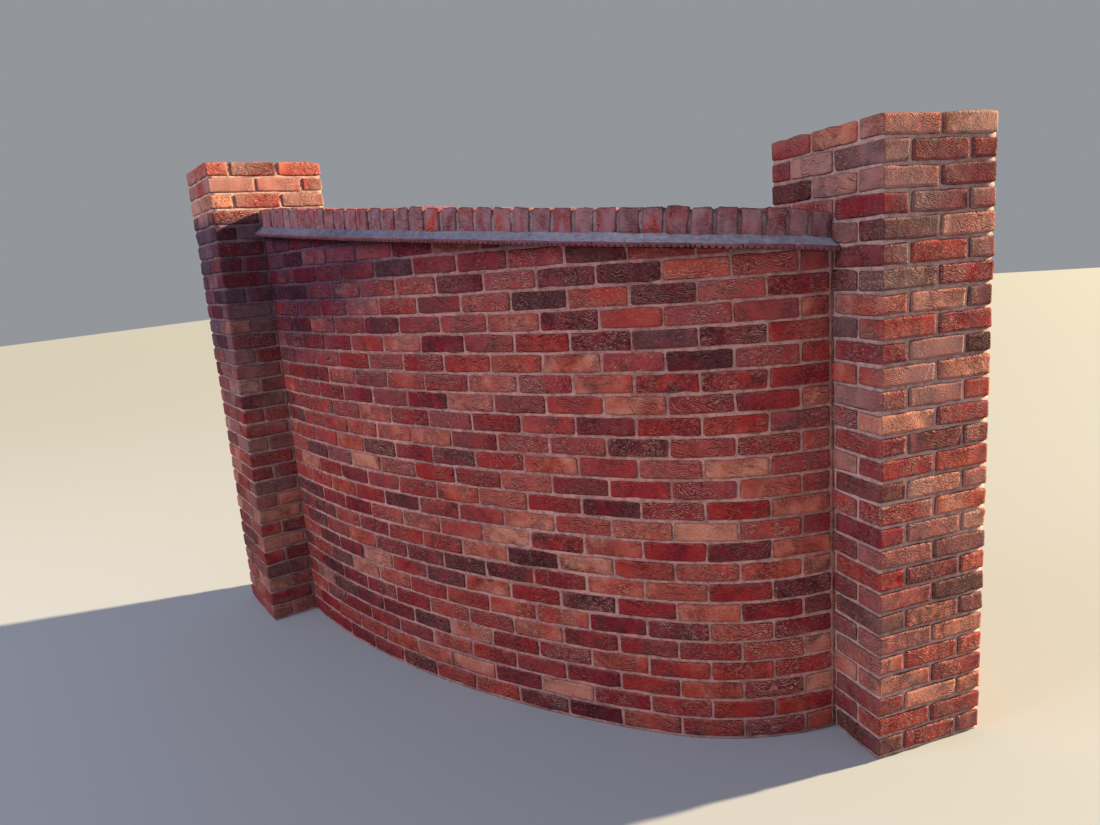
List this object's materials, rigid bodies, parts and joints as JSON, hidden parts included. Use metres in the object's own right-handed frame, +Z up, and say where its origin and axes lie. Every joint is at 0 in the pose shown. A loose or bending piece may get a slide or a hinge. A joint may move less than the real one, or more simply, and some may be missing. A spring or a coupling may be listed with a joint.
{
  "type": "brick garden wall",
  "caption": "Curved garden wall of red facing brick between uncapped brick piers, its raked top finished with a clay tile creasing and a brick-on-edge coping.",
  "frame": {"origin": "middle of the footprint's box, on the level that the wall and piers stand on", "axes": "+Z up; -Y out of the convex show face, where the two radii of the wall meet; +X toward the lower pier, to the right seen from the front"},
  "size_m": [3.6188, 1.1899, 2.325],
  "materials": {
    "pier_brick": "matte",
    "wall_brick": "matte",
    "creasing_tile": "matte",
    "mortar": "matte",
    "coping_brick": "matte"
  },
  "bodies": {
    "root": {"left_pier": "pier_brick", "right_pier": "pier_brick", "wall_segment_1": "wall_brick", "wall_segment_2": "wall_brick", "wall_segment_3": "wall_brick", "wall_segment_4": "wall_brick", "wall_segment_5": "wall_brick", "wall_segment_6": "wall_brick", "wall_segment_7": "wall_brick", "wall_segment_8": "wall_brick", "wall_segment_9": "wall_brick", "creasing_tiles_1": "creasing_tile", "creasing_tiles_2": "creasing_tile", "creasing_tiles_3": "creasing_tile", "creasing_tiles_4": "creasing_tile", "creasing_tiles_5": "creasing_tile", "creasing_tiles_6": "creasing_tile", "creasing_tiles_7": "creasing_tile", "creasing_tiles_8": "creasing_tile", "creasing_tiles_9": "creasing_tile", "mortar_bed_1": "mortar", "mortar_bed_2": "mortar", "mortar_bed_3": "mortar", "mortar_bed_4": "mortar", "mortar_bed_5": "mortar", "mortar_bed_6": "mortar", "mortar_bed_7": "mortar", "mortar_bed_8": "mortar", "mortar_bed_9": "mortar", "coping_bricks_1": "coping_brick", "coping_bricks_2": "coping_brick", "coping_bricks_3": "coping_brick", "coping_bricks_4": "coping_brick", "coping_bricks_5": "coping_brick", "coping_bricks_6": "coping_brick", "coping_bricks_7": "coping_brick", "coping_bricks_8": "coping_brick", "coping_bricks_9": "coping_brick"}
  },
  "joints": []
}
